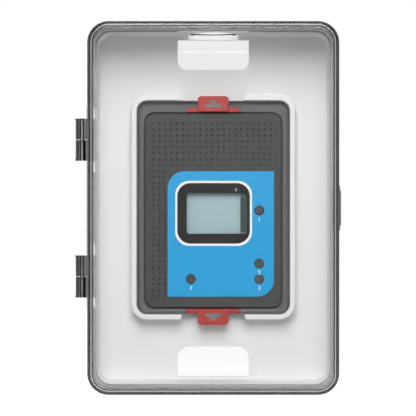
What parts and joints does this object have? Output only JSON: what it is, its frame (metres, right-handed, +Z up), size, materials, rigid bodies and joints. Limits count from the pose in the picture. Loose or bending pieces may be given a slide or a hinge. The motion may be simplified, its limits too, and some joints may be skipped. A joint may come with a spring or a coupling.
{
  "type": "weatherproof wall enclosure with a controller inside",
  "caption": "Clear hinged wall box with a side latch and top cable entry, holding a small controller with display, keys and release tabs on a white tray.",
  "frame": {"origin": "centre of the flat back face that lies against the wall, midway between the four wall screws", "axes": "+X to the viewer's right, -Y out of the wall through the clear cover, +Z up towards the cable entry"},
  "size_m": [0.1472, 0.054, 0.201],
  "materials": {
    "clear_plastic": "clear polycarbonate with a faint smoke tint and dark edges",
    "seal": "dark grey silicone",
    "white_plastic": "satin white moulding",
    "steel": "plain steel pins and screws",
    "case_grey": "fine matt dark grey moulding",
    "board_green": "green solder resist",
    "switch_black": "moulded black plastic",
    "relay_blue": "moulded relay cases",
    "terminal_green": "moulded terminal block",
    "display_grey_green": "blank reflective liquid crystal panel",
    "strip_dark": "dark edge of the panel",
    "window_clear": "thin clear window",
    "bezel_black": "satin black moulding",
    "lamp_grey": "small clear light window",
    "label_blue": "printed blue film, no lettering",
    "ring_white": "white border",
    "tab_red": "red moulding",
    "arrow_grey": "grey inlay"
  },
  "bodies": {
    "base": {"base_shell": "clear_plastic", "hinge_pin_upper": "steel", "hinge_pin_lower": "steel", "latch_pin": "steel", "carrier_tray": "white_plastic", "tray_screws": "steel", "case_back": "case_grey", "case_front": "case_grey", "circuit_board": "board_green", "board_screws": "steel", "key_switches": "switch_black", "relays": "relay_blue", "terminal_block": "terminal_green", "display_holder": "switch_black", "display_panel": "display_grey_green", "display_edge_strip": "strip_dark", "display_window": "window_clear", "display_bezel": "bezel_black", "signal_lamp": "lamp_grey", "face_label": "label_blue", "display_ring": "ring_white"},
    "cover": {"cover_shell": "clear_plastic", "cover_gasket": "seal"},
    "latch": {"side_latch": "clear_plastic"},
    "upper_right_key": {"key_right_upper": "case_grey"},
    "middle_right_key": {"key_right_middle": "case_grey"},
    "lower_right_key": {"key_right_lower": "case_grey"},
    "lower_left_key": {"key_left_lower": "case_grey"},
    "upper_tab": {"release_tab_upper": "tab_red", "tab_arrow_upper": "arrow_grey"},
    "lower_tab": {"release_tab_lower": "tab_red", "tab_arrow_lower": "arrow_grey"}
  },
  "joints": [
    {"name": "cover_hinge", "type": "hinge", "parent": "base", "child": "cover", "pos_m": [-0.0721, -0.036, 0], "axis": [0, 0, -1], "range_deg": [0, 170]},
    {"name": "latch_hinge", "type": "hinge", "parent": "base", "child": "latch", "pos_m": [0.0696, -0.025, 0], "axis": [0, 0, 1], "range_deg": [0, 60]},
    {"name": "upper_right_key_press", "type": "slide", "parent": "base", "child": "upper_right_key", "axis": [0, 1, 0], "range_m": [0, 0.0005], "stiffness_N_per_m": 600, "springref_m": -0.0005},
    {"name": "middle_right_key_press", "type": "slide", "parent": "base", "child": "middle_right_key", "axis": [0, 1, 0], "range_m": [0, 0.0005], "stiffness_N_per_m": 600, "springref_m": -0.0005},
    {"name": "lower_right_key_press", "type": "slide", "parent": "base", "child": "lower_right_key", "axis": [0, 1, 0], "range_m": [0, 0.0005], "stiffness_N_per_m": 600, "springref_m": -0.0005},
    {"name": "lower_left_key_press", "type": "slide", "parent": "base", "child": "lower_left_key", "axis": [0, 1, 0], "range_m": [0, 0.0005], "stiffness_N_per_m": 600, "springref_m": -0.0005},
    {"name": "upper_tab_slide", "type": "slide", "parent": "base", "child": "upper_tab", "axis": [0, 0, 1], "range_m": [0, 0.0012], "stiffness_N_per_m": 200, "springref_m": -0.0005},
    {"name": "lower_tab_slide", "type": "slide", "parent": "base", "child": "lower_tab", "axis": [0, 0, -1], "range_m": [0, 0.0012], "stiffness_N_per_m": 200, "springref_m": -0.0005}
  ]
}
